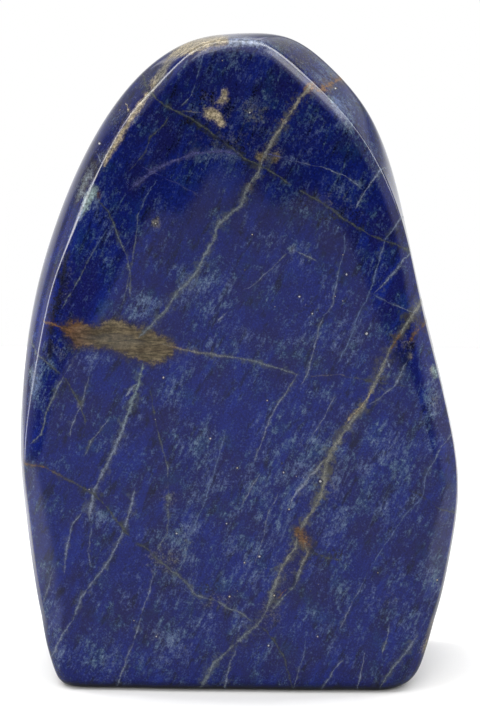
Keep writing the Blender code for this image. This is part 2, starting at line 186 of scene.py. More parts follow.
# Veins on the front: name, width in pixels, strength, colours at both ends, the slant of the
# sheet that the vein is the edge of, as millimetres across and up for each millimetre of
# depth, and the route in the photo's pixels
VEINS = (
    ("wall rust", 6.5, 1.0, "rusty", "rusty", 0.0, 0.0,
     (311, 93, 318, 90, 325, 87, 333, 83, 341, 79, 358, 70)),
    ("wall scratch", 1.8, 0.9, "cream", "cream", 0.0, 0.0,
     (122, 100, 125, 106, 129, 114)),
    ("wall hair", 1.5, 0.8, "frost", "frost", 0.0, 0.0,
     (94, 153, 98, 159, 103, 165)),
    ("long tan", 5.0, 0.95, "tan", "sage", 0.55, -0.65,
     (314, 78, 309, 85, 304, 92, 290, 112, 274, 136, 263, 155, 258, 173, 248, 185, 239, 206,
      217, 224, 214, 237, 202, 261, 193, 276, 177, 292, 165, 310, 153, 322, 142, 334, 136, 340)),
    ("left smoke", 9.0, 0.75, "dark", "dark", 0.0, 0.1,
     (70, 245, 65, 265, 56, 300, 50, 330, 49, 365)),
    ("leaf tip", 3.4, 1.0, "rusty", "bark", 0.1, 0.35,
     (36, 320, 43, 321, 56, 325, 68, 330, 84, 334)),
    ("leaf tail", 3.4, 0.85, "tan", "sage", 0.1, 0.35,
     (158, 342, 168, 345, 190, 351, 205, 353, 242, 358, 260, 362, 285, 370, 303, 376)),
    ("leaf tail end", 2.2, 0.5, "tan", "olive", 0.1, 0.35,
     (303, 376, 337, 374, 366, 380, 413, 387)),
    ("pale left", 4.4, 1.0, "jade", "pale", -0.2, 0.2,
     (144, 358, 142, 365, 138, 384, 128, 411, 115, 447, 101, 475, 92, 493, 90, 509, 89, 524)),
    ("pale left fork", 2.8, 1.0, "frost", "frost", -0.2, 0.2,
     (139, 380, 131, 389, 122, 399)),
    ("pale lower left", 3.2, 0.9, "pale", "pale", -0.15, 0.1,
     (135, 484, 130, 509, 122, 533, 110, 558, 95, 579, 81, 597, 73, 619, 61, 634, 53, 653, 40, 682)),
    ("left strand", 2.8, 0.9, "frost", "pale", 0.2, 0.1,
     (84, 509, 72, 524, 66, 548, 63, 579)),
    ("low middle strand", 2.6, 0.8, "pale", "pale", -0.25, 0.15,
     (153, 570, 150, 588, 142, 610, 136, 634, 125, 662, 118, 683, 110, 706)),
    ("main right", 6.0, 1.0, "reed", "reed", 0.3, 0.3,
     (446, 268, 424, 296, 413, 313, 401, 332, 390, 347, 383, 365, 373, 387, 361, 408, 349, 423, 337, 441,
      326, 460, 324, 481, 317, 503, 306, 518, 298, 533)),
    ("main right wide", 7.5, 0.8, "reed", "reed", 0.3, 0.3,
     (333, 446, 327, 458, 325, 470, 323, 483, 320, 495, 314, 508)),
    ("main right low", 4.8, 1.0, "reed", "sage", 0.3, 0.3,
     (298, 533, 294, 548, 281, 567, 272, 591, 266, 610, 260, 622, 245, 634, 232, 646, 214, 662,
      202, 684, 190, 706)),
    ("right loop", 4.2, 1.0, "tan", "sage", 0.3, 0.3,
     (303, 538, 307, 553, 300, 568, 295, 584, 281, 599, 269, 614)),
    ("loop rust", 3.0, 0.8, "rusty", "rusty", 0.3, 0.3, (286, 588, 281, 594, 275, 599)),
    ("knot smudge", 5.0, 0.6, "dark", "olive", 0.3, 0.3, (306, 545, 315, 553, 328, 558, 345, 560)),
    ("foot fork", 3.6, 1.0, "pale", "pale", 0.3, 0.3,
     (238, 642, 235, 650, 229, 665, 225, 684, 220, 706)),
    ("middle fork", 3.2, 1.0, "reed", "frost", 0.3, 0.3,
     (326, 452, 325, 458, 318, 467, 309, 476, 303, 485, 296, 492, 291, 501, 288, 510)),
    ("upper fork", 3.0, 0.9, "pale", "pale", 0.3, 0.2,
     (361, 408, 371, 403, 383, 394, 394, 385, 399, 376, 405, 362, 409, 357)),
    ("right edge rust", 4.8, 1.0, "rusty", "bark", 0.3, 0.2,
     (452, 284, 431, 312, 425, 322, 413, 335, 405, 345)),
    ("olive left", 3.4, 0.8, "bark", "olive", 0.1, 0.3,
     (0, 452, 27, 464, 46, 467, 61, 476, 80, 486, 95, 495, 107, 507, 122, 527, 131, 541)),
    ("olive middle", 3.6, 0.8, "olive", "sage", 0.1, 0.3,
     (131, 541, 147, 548, 156, 558, 171, 570, 187, 582, 196, 596, 214, 599, 226, 607,
      242, 613, 254, 623)),
    ("olive foot", 2.6, 0.7, "olive", "olive", 0.1, 0.3,
     (254, 623, 263, 628, 275, 643, 285, 659, 291, 684, 297, 706)),
    ("upper cross smoke", 9.0, 0.55, "dark", "dark", -0.2, 0.35,
     (176, 112, 204, 127, 222, 141, 242, 156, 262, 168)),
    ("upper cross", 2.8, 0.9, "olive", "olive", -0.2, 0.35,
     (139, 83, 147, 90, 162, 104, 174, 110, 190, 118, 204, 127, 220, 139)),
    ("upper cross middle", 2.8, 0.85, "olive", "olive", -0.2, 0.35,
     (220, 139, 242, 156, 260, 165, 275, 174, 294, 187)),
    ("upper cross right", 3.2, 0.8, "olive", "olive", -0.2, 0.35,
     (294, 187, 321, 202, 346, 220, 373, 236, 388, 241, 425, 256)),
    ("upper left twig", 2.6, 0.65, "olive", "olive", -0.3, 0.2,
     (171, 112, 162, 126, 150, 136, 145, 152, 135, 164, 125, 173)),
    ("upper twig", 2.0, 0.7, "sage", "mint", -0.2, 0.1,
     (177, 109, 191, 95, 196, 81, 200, 64, 205, 49)),
    ("upper side twig", 1.8, 0.7, "olive", "tan", -0.2, 0.1,
     (177, 111, 191, 111, 204, 112)),
    ("left steep olive", 2.6, 0.8, "olive", "sage", -0.2, -0.2,
     (95, 196, 107, 211, 118, 235, 125, 252, 130, 273, 129, 301)),
    ("left hair", 1.8, 0.65, "mint", "sage", 0.2, 0.1,
     (158, 175, 147, 193, 138, 213, 135, 240, 130, 267, 125, 292, 119, 313)),
    ("left outer hair", 2.2, 0.65, "mint", "sage", 0.15, 0.1,
     (110, 225, 95, 246, 83, 270, 67, 298, 60, 312)),
    # The three bow veins are a painted reflection: they paint the reflected horizon line across the front
    # as a thin violet bow with a faint milky band along it
    ("painted horizon bow", 2.0, 0.75, "violet", "violet", 0.1, 0.4,
     (130, 190, 150, 173, 170, 162, 190, 153, 220, 151, 244, 155)),
    ("painted horizon bow right", 1.8, 0.7, "violet", "pale", 0.1, 0.4,
     (262, 152, 285, 158, 318, 166, 345, 175, 366, 192)),
    ("painted horizon bow dust", 9.0, 0.5, "violet", "violet", 0.1, 0.4,
     (125, 193, 150, 171, 172, 161, 190, 154, 220, 150, 244, 154)),
    ("violet cross", 1.2, 0.55, "violet", "violet", 0.1, 0.2,
     (135, 162, 162, 176, 190, 190, 220, 208)),
    ("left bank cross", 3.0, 0.8, "sage", "olive", -0.2, 0.3,
     (10, 330, 50, 365, 64, 376, 72, 390, 80, 404, 87, 431)),
    ("left bank steep", 3.0, 0.8, "pale", "sage", 0.2, 0.2,
     (76, 353, 67, 370, 58, 385, 46, 410, 41, 433, 32, 442, 24, 446)),
    ("left bank hair", 1.8, 0.85, "pale", "pale", 0.2, 0.2,
     (90, 370, 84, 393, 80, 407, 72, 424, 69, 442)),
    ("left bank branch", 1.8, 0.85, "pale", "sage", 0.2, 0.2,
     (110, 416, 92, 439, 81, 459)),
    ("dark drop", 2.0, 0.75, "olive", "sage", -0.1, 0.1,
     (150, 385, 153, 411, 159, 438, 167, 466, 168, 497, 167, 533, 153, 555)),
    ("right hair outer", 2.2, 0.9, "pale", "mint", 0.2, 0.1,
     (418, 192, 385, 240, 379, 258, 373, 281, 365, 301, 358, 312, 353, 330, 344, 350,
      333, 371)),
    ("right hair edge", 2.6, 0.8, "mint", "pale", 0.2, 0.1,
     (432, 226, 395, 270, 384, 283, 370, 295)),
    ("right hair inner", 1.8, 0.85, "mint", "pale", 0.2, 0.1,
     (350, 226, 344, 235, 345, 250, 339, 266, 335, 287, 332, 306, 323, 315, 318, 330,
      312, 353, 307, 373, 298, 388)),
    ("middle hair", 2.0, 0.85, "sage", "pale", 0.1, 0.1,
     (300, 368, 289, 387, 274, 408, 266, 427, 257, 453, 252, 466)),
    ("middle hair low", 1.8, 0.95, "pale", "pale", 0.1, 0.1,
     (262, 469, 250, 489, 239, 509)),
    ("middle hair right", 1.8, 0.7, "pale", "pale", 0.1, 0.1,
     (341, 390, 332, 399, 324, 417, 316, 427, 309, 442)),
    ("centre strand", 2.6, 0.75, "mint", "mint", -0.1, 0.1,
     (226, 424, 222, 444, 214, 469, 205, 500, 190, 533, 184, 552)),
    ("lower right strand", 2.4, 0.8, "pale", "mint", 0.25, 0.1,
     (470, 410, 441, 447, 425, 475, 422, 496, 404, 515, 392, 533, 370, 567)),
    ("lower right strand end", 2.2, 0.75, "mint", "pale", 0.25, 0.1,
     (370, 567, 361, 585, 349, 607, 337, 634)),
    ("right foot", 3.0, 0.9, "pale", "sage", 0.4, 0.1,
     (419, 631, 413, 641, 407, 650, 392, 668, 383, 681, 370, 706)),
    ("right foot hair", 1.8, 0.95, "pale", "pale", 0.2, 0.1,
     (366, 646, 362, 664, 358, 684, 352, 706)),
    ("right foot mid", 2.0, 0.9, "pale", "pale", 0.2, 0.1,
     (346, 656, 335, 668, 324, 684, 312, 706)),
    ("foot hair", 2.0, 0.7, "mint", "pale", 0.1, 0.1,
     (306, 634, 303, 656, 294, 684, 288, 706)),
    ("foot right steep", 2.2, 0.9, "pale", "sage", 0.2, 0.1,
     (389, 619, 386, 640, 380, 659)),
    ("left foot hair", 2.0, 0.8, "mint", "pale", 0.1, 0.0,
     (55, 561, 49, 582, 41, 607)),
    ("star left", 1.4, 0.6, "sage", "pale", 0.1, 0.1,
     (291, 249, 272, 267, 251, 286, 236, 292)),
    ("star right", 1.6, 0.8, "sage", "sage", 0.1, 0.1,
     (291, 249, 309, 257, 320, 264)),
    ("centre scratch", 1.4, 0.8, "pale", "pale", 0.1, 0.1,
     (230, 307, 214, 325)),
    ("shoulder hair", 2.0, 0.95, "mint", "pale", 0.3, 0.1,
     (402, 142, 378, 173, 365, 190, 352, 213)),
    ("right bank cross", 1.5, 0.7, "mint", "pale", 0.1, 0.3,
     (366, 292, 372, 294, 385, 300, 399, 307, 410, 311, 424, 314)),
    ("main right bark", 4.4, 0.95, "bark", "bark", 0.3, 0.3,
     (402, 328, 398, 337, 393, 344, 388, 353)),
    ("main right cream", 2.6, 0.85, "cream", "cream", 0.3, 0.3,
     (373, 385, 368, 396, 359, 407, 349, 418, 341, 429)),
    ("bank twig", 2.0, 0.9, "pale", "pale", 0.1, 0.3, (384, 356, 388, 362, 392, 369)),
    ("right dark", 3.0, 0.6, "dark", "olive", 0.1, 0.3,
     (404, 487, 422, 496, 441, 509, 453, 512, 480, 520)),
    ("centre low hair", 1.6, 0.6, "pale", "pale", 0.1, 0.1,
     (282, 485, 268, 512, 262, 540, 252, 570)),
    ("left low hair", 1.6, 0.8, "mint", "pale", 0.1, 0.1,
     (92, 520, 88, 548, 90, 570)),
)

# In pixels: how far from its route a vein may show, how far apart two veins of one layer
# must be, and the length over which a vein fades at its ends
VEIN_REACH = 13.0
VEIN_APART = 27.0
END_FADE = 12.0
# As shares: the most of a vein's length that an end's fade takes, its width at its very ends,
# the stretch of its reach over which it fades out, and the stretch that changes its colour
END_SHARE = 0.3
END_WIDTH = 0.45
REACH_FADE = (0.7, 0.98)
COLOUR_CHANGE = (0.05, 0.6)

# Patches on the front: name, colours at the left and right, raggedness in millimetres, and
# the outline in the photo's pixels. Far outside them the distance inside is PATCH_OUTSIDE, and
# they and the single grains end behind PATCH_DEPTH, all in millimetres.
PATCH_OUTSIDE = -6.0
PATCH_DEPTH = 12.0
PATCHES = (
    ("leaf", "bark", "leaf", 0.9,
     (62, 325, 75, 321, 86, 325, 98, 326, 113, 319, 122, 321, 130, 327, 150, 330, 166, 339,
      175, 346, 170, 356, 153, 363, 138, 359, 122, 353, 107, 347, 86, 345, 75, 346, 69, 339)),
    ("cream blob", "cream", "cream", 0.5,
     (221, 89, 226, 89, 228, 96, 226, 101, 220, 104, 216, 101, 221, 96)),
    ("cream step", "cream", "cream", 0.5,
     (203, 109, 213, 107, 218, 112, 223, 119, 224, 125, 219, 126, 212, 119, 204, 116)),
    ("ridge strip", "cream", "cream", 0.4,
     (146, 91, 151, 91, 142, 104, 128, 126, 109, 158, 103, 165, 103, 160, 120, 130)),
    ("shoulder patch", "cream", "tan", 0.5,
     (152, 90, 150, 84, 158, 70, 166, 62, 171, 60, 165, 72, 158, 84)),
    ("top patch", "cream", "cream", 0.5,
     (170, 58, 164, 62, 172, 50, 186, 41, 200, 37, 216, 34, 228, 36, 230, 42, 215, 45, 206, 48,
      196, 51, 184, 54)),
    # A painted highlight: the pale strip under the crest's ridge stands in for the light above reflected
    # in the bevel
    ("crest painted highlight", "pale", "frost", 0.5, (226, 38, 245, 37, 262, 41, 268, 46, 250, 45, 228, 45)),
    ("wall jade", "jade", "mint", 0.6, (329, 96, 337, 98, 343, 107, 338, 110, 331, 103)),
    ("wall dust", "sage", "sage", 0.8, (76, 200, 80, 184, 88, 168, 93, 163, 89, 180, 82, 196)),
    ("ridge rust", "rusty", "rusty", 0.7,
     (305, 84, 311, 82, 314, 87, 310, 92, 304, 90)),
    ("crossing rust", "leaf", "leaf", 0.6, (257, 153, 263, 152, 265, 158, 261, 162, 256, 159)),
    ("crossing side", "leaf", "leaf", 0.6, (272, 154, 278, 152, 280, 157, 274, 162, 271, 159)),
    ("knot rust", "rusty", "rusty", 0.9,
     (294, 526, 301, 526, 304, 536, 310, 544, 304, 546, 297, 538)),
    ("mint left", "mint", "jade", 0.6,
     (92, 184, 97, 188, 96, 197, 90, 203, 84, 212, 80, 220, 78, 219, 81, 208, 86, 194)),
    ("mint left dark", "dark", "bark", 0.5, (96, 190, 99, 191, 99, 198, 96, 198)),
    ("bank dark", "dark", "dark", 0.8, (404, 316, 412, 312, 416, 318, 408, 322)),
    ("knot bank", "olive", "tan", 0.4, (407, 353, 412, 353, 412, 358, 407, 358)),
    ("mint low", "jade", "mint", 0.6, (29, 368, 38, 368, 39, 386, 33, 392)),
    ("edge fleck", "reed", "jade", 0.5, (430, 366, 435, 366, 437, 377, 432, 379)),
    ("knot low", "reed", "reed", 0.3, (78, 402, 82, 402, 82, 407, 78, 407)),
    ("knot star", "jade", "pale", 0.4, (289, 247, 293, 246, 294, 251, 290, 252)),
    ("knot long", "tan", "leaf", 0.4, (246, 183, 251, 183, 251, 188, 246, 188)),
    ("knot middle", "tan", "sage", 0.4, (212, 235, 216, 235, 216, 240, 212, 240)),
    ("knot dark", "olive", "sage", 0.4, (165, 494, 171, 495, 170, 500, 166, 500)),
    # A painted reflection: the cream sliver of wall at the lower right corner stands in for the white
    # table reflected in the wall
    ("corner painted floor reflection", "cream", "cream", 0.6,
     (433, 618, 436, 622, 429, 640, 424, 652, 421, 651, 427, 636)),
    ("small gold", "tan", "tan", 0.5,
     (152, 219, 158, 218, 159, 225, 153, 227)),
)

# Cloudy places on the front: x, y, radius across and up in pixels, and amount. Behind the
# depths of CLOUD_FADE, in millimetres, each kind has one amount, its rest.
CLOUD_FADE = (10.0, 20.0)
PALE_REST = 0.4
TAN_REST = 0.15
DARK_REST = 0.3
GRAIN_REST = 0.4
# Most pale clouds are lace in the stone; the thin ones at (215, 155) and (290, 160) are painted reflection
# of the horizon along the bow, and the one at (275, 48) is a painted highlight under the crest
PALE_CLOUDS = (
    (95, 359, 26, 7, 0.5), (200, 285, 26, 26, 0.8), (142, 308, 26, 14, 0.8), (345, 190, 22, 14, 0.7),
    (300, 480, 60, 70, 0.55), (380, 470, 50, 60, 0.5), (180, 630, 70, 40, 0.5),
    (100, 516, 14, 10, 1.0), (170, 395, 20, 24, 0.5), (60, 360, 26, 20, 0.6),
    (290, 255, 30, 24, 0.5), (185, 545, 24, 30, 0.8), (350, 600, 60, 50, 0.4),
    (200, 480, 30, 50, 0.5), (100, 655, 26, 22, 0.7), (225, 60, 40, 20, 0.5),
    (250, 115, 28, 24, 0.7), (300, 135, 30, 20, 0.5), (150, 660, 40, 20, 0.5),
    (430, 580, 14, 30, 0.7), (400, 400, 30, 30, 0.4), (330, 330, 40, 50, 0.35),
    (250, 560, 40, 40, 0.5), (60, 650, 14, 22, 0.8), (215, 155, 30, 7, 1.0), (290, 160, 26, 8, 0.9),
    (275, 48, 26, 9, 1.0), (325, 78, 20, 20, 1.0), (348, 112, 14, 22, 1.0),
    (372, 150, 10, 24, 0.8), (38, 380, 8, 30, 0.9),
    (432, 400, 12, 40, 0.7), (95, 200, 14, 22, 0.7), (45, 620, 10, 30, 0.9), (110, 240, 20, 30, 0.4),
    (240, 350, 40, 24, 0.25), (330, 520, 30, 30, 0.6), (420, 620, 20, 20, 0.5),
)
TAN_CLOUDS = (
    (252, 112, 18, 16, 0.9), (268, 152, 16, 12, 0.9), (165, 560, 22, 16, 0.9),
    (185, 545, 12, 20, 0.6), (215, 600, 26, 10, 0.7), (272, 610, 14, 24, 0.7),
    (168, 497, 9, 12, 0.8), (285, 575, 22, 24, 0.5), (60, 350, 26, 14, 0.6),
    (404, 342, 12, 12, 0.8), (436, 400, 6, 16, 0.7), (335, 200, 26, 14, 0.5),
    (300, 60, 22, 14, 0.8), (125, 108, 16, 22, 0.6), (215, 110, 24, 18, 0.6),
    (330, 480, 14, 30, 0.6), (155, 635, 10, 8, 0.6), (390, 600, 12, 10, 0.5),
    (90, 345, 30, 12, 0.5), (300, 545, 22, 16, 0.6), (150, 82, 14, 14, 0.9), (118, 118, 14, 22, 0.8),
    (98, 158, 10, 22, 0.7), (285, 44, 20, 10, 0.9), (330, 84, 14, 14, 0.6), (64, 270, 8, 40, 0.6),
    (225, 140, 34, 14, 0.7), (210, 100, 14, 12, 0.7), (324, 470, 12, 30, 0.7),
)
DARK_CLOUDS = (
    (408, 326, 7, 9, 1.0), (410, 346, 9, 8, 0.8), (380, 374, 7, 10, 0.7), (112, 322, 16, 8, 0.8),
    (326, 556, 24, 9, 0.9), (205, 590, 20, 10, 0.8), (160, 565, 24, 12, 0.7),
    (310, 310, 16, 14, 0.6), (175, 525, 14, 16, 0.6), (190, 120, 20, 10, 0.6),
    (345, 215, 36, 14, 0.7), (250, 640, 30, 16, 0.4), (430, 340, 14, 30, 0.5),
    (150, 250, 24, 20, 0.3), (240, 520, 40, 40, 0.4), (56, 300, 10, 40, 0.8), (205, 96, 14, 10, 0.9),
    (230, 146, 30, 12, 0.8), (300, 40, 30, 20, 0.6), (62, 340, 16, 12, 0.8), (200, 660, 50, 16, 0.4),
)
GRAIN_CLOUDS = (
    (310, 300, 50, 40, 0.8), (330, 470, 70, 70, 0.8), (170, 520, 30, 30, 0.8),
    (200, 620, 70, 50, 0.8), (290, 580, 50, 50, 0.7), (255, 110, 30, 20, 0.6),
    (370, 340, 30, 30, 0.6), (240, 430, 40, 40, 0.5), (400, 560, 40, 60, 0.5),
)

# Painted glints: grains on the front whose highlights are painted in as near-white colour in a dark rim: x
# and y in pixels, and the radius in millimetres
PAINTED_GLINTS = (
    (366, 333, 0.30), (346, 274, 0.24), (299, 296, 0.24), (320, 481, 0.30), (283, 472, 0.20),
    (176, 533, 0.20), (156, 636, 0.20), (317, 636, 0.20), (268, 645, 0.20), (210, 438, 0.20),
    (163, 377, 0.22), (99, 143, 0.26), (155, 223, 0.22), (312, 313, 0.20), (259, 556, 0.22),
    (335, 88, 0.22), (249, 112, 0.20), (226, 523, 0.20),
)


def smooth_step(value, low, high):
    """Rises smoothly from 0 at low to 1 at high."""
    share = np.clip((value - low) / (high - low), 0.0, 1.0)
    return share * share * (3.0 - 2.0 * share)


def soft_ramp(share, blend):
    """0 below 0, then a ramp that starts over blend and reaches 1 at 1."""
    share = np.clip(share, 0.0, 1.0)
    start = np.minimum(share / blend, 1.0)
    rise = blend * (start ** 3 - 0.5 * start ** 4) + np.maximum(share - blend, 0.0)
    return rise / (1.0 - 0.5 * blend)


def closed_curve(stations, count):
    """A smooth closed curve through the stations, as count points at even steps along it."""
    points = np.array(stations)
    number = len(points)
    after = np.roll(points, -1, axis=0)
    steps = np.linalg.norm((after - points)[:, :2], axis=1)
    knots = np.concatenate(([0.0], np.cumsum(steps)))
    slopes = (after - points) / steps[:, None]
    system = np.zeros((number, number))
    for i in range(number):
        system[i, i - 1] = steps[i - 1]
        system[i, i] = 2.0 * (steps[i - 1] + steps[i])
        system[i, (i + 1) % number] = steps[i]
    bend = np.linalg.solve(system, 6.0 * (slopes - np.roll(slopes, 1, axis=0)))
    at = np.linspace(0.0, knots[-1], count, endpoint=False)
    i = np.searchsorted(knots, at, side="right") - 1
    j = (i + 1) % number
    step = steps[i][:, None]
    far = (at - knots[i])[:, None] / step
    near = 1.0 - far
    curved = ((near ** 3 - near) * bend[i] + (far ** 3 - far) * bend[j]) * step * step / 6.0
    return near * points[i] + far * points[j] + curved


def front_face(x, z):
    """Depth of the front before its bevel drops away."""
    waves = np.sin(TURN * x / WAVE_LENGTH_X + WAVE_SHIFT) * np.cos(TURN * z / WAVE_LENGTH_Z)
    return -0.5 * THICKNESS + FRONT_CROWN * (x / HALF_WIDTH) ** 2 + WAVE_HEIGHT * waves


def back_face(x, z):
    """Depth of the domed back before its edge drops away."""
    lean = np.clip((z - BACK_LEAN_FROM) / (BACK_LEAN_TO - BACK_LEAN_FROM), 0.0, None)
    waves = np.sin(TURN * x / BACK_WAVE_LENGTH_X) * np.sin(TURN * z / BACK_WAVE_LENGTH_Z + BACK_WAVE_SHIFT)
    crown = BACK_CROWN * (x / HALF_WIDTH) ** 2
    return 0.5 * THICKNESS - crown - BACK_LEAN * lean ** BACK_LEAN_POWER + BACK_WAVE_HEIGHT * waves


class Loop:
    """The closed outlines, and what changes along them, as columns of count values."""

    def __init__(self, count):
        curve = closed_curve(STATIONS, count)
        self.wide_x, self.wide_z, self.ridge_x, self.ridge_z = (curve[:, [k]] for k in range(4))
        self.bevel = self.along(BEVEL_WIDTH, FLANK_FOOT)
        self.drop = self.along(BEVEL_DROP, FLANK_FOOT)
        self.blend = self.along(BEVEL_BLEND, FLANK_FOOT)
        self.roll = self.along(ROLL_WIDTH, FLANK_FOOT)
        self.roll_drop = self.along(ROLL_DROP, FLANK_FOOT)
        self.ridge_round = self.along(RIDGE_ROUND, FLANK_FOOT)
        self.widest_after = self.along(WIDEST_AFTER, FLANK_FOOT, WALL_CREST_FOOT, WALL_CREST_TOP)
        self.power = self.along(WALL_POWER, FLANK_FOOT, WALL_CREST_FOOT, WALL_CREST_TOP)
        self.back_drop = self.along(BACK_DROP, BACK_FLANK_FOOT)
        self.back_bevel = self.along(BACK_BEVEL, BACK_FLANK_FOOT)
        self.back_round = self.along(BACK_ROUND, BACK_FLANK_FOOT)
        self.place_back_edge(self.along(BACK_INSET, BACK_FLANK_FOOT))
        self.ridge_y = front_face(self.ridge_x, self.ridge_z) + self.drop + self.roll_drop
        self.back_y = back_face(self.back_x, self.back_z) - self.back_drop
        self.front_length = np.hypot(self.ridge_x - HEART_X, self.ridge_z - HEART_Z)
        self.back_length = np.hypot(self.back_x - HEART_X, self.back_z - HEART_Z)
        self.wall_length = self.back_y - self.ridge_y
        self.facing = self.ray_facing()

    def along(self, values, flank_foot, crest_foot=CREST_FOOT, crest_top=CREST_TOP):
        """Values at the base, flanks, shoulders and crest, blended by the outline's height."""
        flank = smooth_step(self.wide_z, BASE_TOP, flank_foot)
        shoulder = smooth_step(self.wide_z, FLANK_TOP, SHOULDER_FOOT)
        crest = smooth_step(self.wide_z, crest_foot, crest_top)
        value = values[0] + (values[1] - values[0]) * flank
        value = value + (values[2] - values[1]) * shoulder
        return value + (values[3] - values[2]) * crest

    def place_back_edge(self, inset):
        """The back edge lies inside the widest outline, towards the heart."""
        to_x = HEART_X - self.wide_x
        to_z = HEART_Z - self.wide_z
        length = np.hypot(to_x, to_z)
        self.back_x = self.wide_x + to_x / length * inset
        self.back_z = self.wide_z + to_z / length * inset

    def ray_facing(self):
        """How squarely the ray from the heart meets the ridge: 1 where it is at right angles."""
        run_x = np.roll(self.ridge_x, -1) - np.roll(self.ridge_x, 1)
        run_z = np.roll(self.ridge_z, -1) - np.roll(self.ridge_z, 1)
        ray_x = self.ridge_x - HEART_X
        ray_z = self.ridge_z - HEART_Z
        cross = np.abs(ray_x * run_z - ray_z * run_x)
        return cross / (np.hypot(run_x, run_z) * np.hypot(ray_x, ray_z))


def cap_point(share, edge_x, edge_z):
    """A point on the ray from the heart, at a share of the way to the edge."""
    return HEART_X + (edge_x - HEART_X) * share, HEART_Z + (edge_z - HEART_Z) * share


def sharp_front(loop, s):
    """Points of the front at a run s from its heart, with its broad roll and its bevel."""
    x, z = cap_point(np.clip(s / loop.front_length, 0.0, 1.0), loop.ridge_x, loop.ridge_z)
    from_ridge = (loop.front_length - s) * loop.facing
    drop = loop.drop * soft_ramp(1.0 - from_ridge / loop.bevel, loop.blend)
    drop = drop + loop.roll_drop * soft_ramp(1.0 - from_ridge / loop.roll, 1.0)
    return x, front_face(x, z) + drop, z


def sharp_skin(loop, s):
    """Points of the skin at a run s from the front's heart, before its edges are rounded."""
    back_start = loop.front_length + loop.wall_length
    full = back_start + loop.back_length
    front_x, front_y, front_z = sharp_front(loop, s)

    along = np.clip((s - loop.front_length) / loop.wall_length, 0.0, 1.0)
    widest = loop.widest_after / loop.wall_length
    before = np.clip(1.0 - along / widest, 0.0, 1.0) ** loop.power
    after = np.clip((along - widest) / (1.0 - widest), 0.0, 1.0) ** BACK_POWER
    wall_x = loop.wide_x + (loop.ridge_x - loop.wide_x) * before
    wall_x = wall_x + (loop.back_x - loop.wide_x) * after
    wall_z = loop.wide_z + (loop.ridge_z - loop.wide_z) * before
    wall_z = wall_z + (loop.back_z - loop.wide_z) * after
    wall_y = loop.ridge_y + loop.wall_length * along

    back_x, back_z = cap_point(np.clip((full - s) / loop.back_length, 0.0, 1.0), loop.back_x, loop.back_z)
    from_edge = (s - back_start) * loop.facing
    drop = loop.back_drop * soft_ramp(1.0 - from_edge / loop.back_bevel, 1.0)
    back_y = back_face(back_x, back_z) - drop

    on_front = s < loop.front_length
    on_back = s > back_start
    sides = ((front_x, wall_x, back_x), (front_y, wall_y, back_y), (front_z, wall_z, back_z))
    sharp = [np.where(on_front, front, np.where(on_back, back, wall)) for front, wall, back in sides]
    return np.stack(sharp, axis=-1)


def skin(loop, s):
    """The sharp skin with its edges rounded, as a weighted mean of near points of each run."""
    full = loop.front_length + loop.wall_length + loop.back_length
    turn = smooth_step((s - loop.front_length) / loop.wall_length, ROUND_FROM, ROUND_TO)
    radius = loop.ridge_round + (loop.back_round - loop.ridge_round) * turn
    radius = np.minimum(radius, np.minimum(s, full - s) / HEART_CLEAR)
    total = 0.0
    weights = 0.0
    for offset in np.linspace(-ROUND_REACH, ROUND_REACH, ROUND_SAMPLES):
        weight = np.exp(-0.5 * offset * offset)
        total = total + weight * sharp_skin(loop, s + radius * offset)
        weights = weights + weight
    points = total / weights
    points[..., 2] = np.maximum(points[..., 2], 0.0)
    return points


def ring_runs(loop):
    """Runs from the front's heart to each ring, closer together near the edges."""
    runs = []
    for k in range(1, FRONT_RINGS):
        runs.append(loop.front_length * (1.0 - (1.0 - k / FRONT_RINGS) ** RING_CROWDING))
    for k in range(WALL_RINGS + 1):
        even = k / WALL_RINGS
        eased = 0.5 - 0.5 * np.cos(np.pi * even)
        share = WALL_EVENNESS * even + (1.0 - WALL_EVENNESS) * eased
        runs.append(loop.front_length + loop.wall_length * share)
    for k in range(1, BACK_RINGS):
        back = (k / BACK_RINGS) ** RING_CROWDING
        runs.append(loop.front_length + loop.wall_length + loop.back_length * back)
    return np.concatenate(runs, axis=1)


def points_to_skip(share):
    """A ring near a heart has half, a quarter or an eighth of the points."""
    return 2 ** sum(share < limit for limit in HALVE_AT)


def band_faces(outer, inner):
    """Faces between two rings, where the inner has as many points as the outer or half."""
    count = len(outer)
    if len(inner) == count:
        return [(outer[i], outer[(i + 1) % count], inner[(i + 1) % count], inner[i]) for i in range(count)]
    faces = []
    for i in range(len(inner)):
        j = (i + 1) % len(inner)
        first, middle, last = outer[2 * i], outer[2 * i + 1], outer[(2 * i + 2) % count]
        faces.append((first, middle, inner[i]))
        faces.append((middle, inner[j], inner[i]))
        faces.append((middle, last, inner[j]))
    return faces


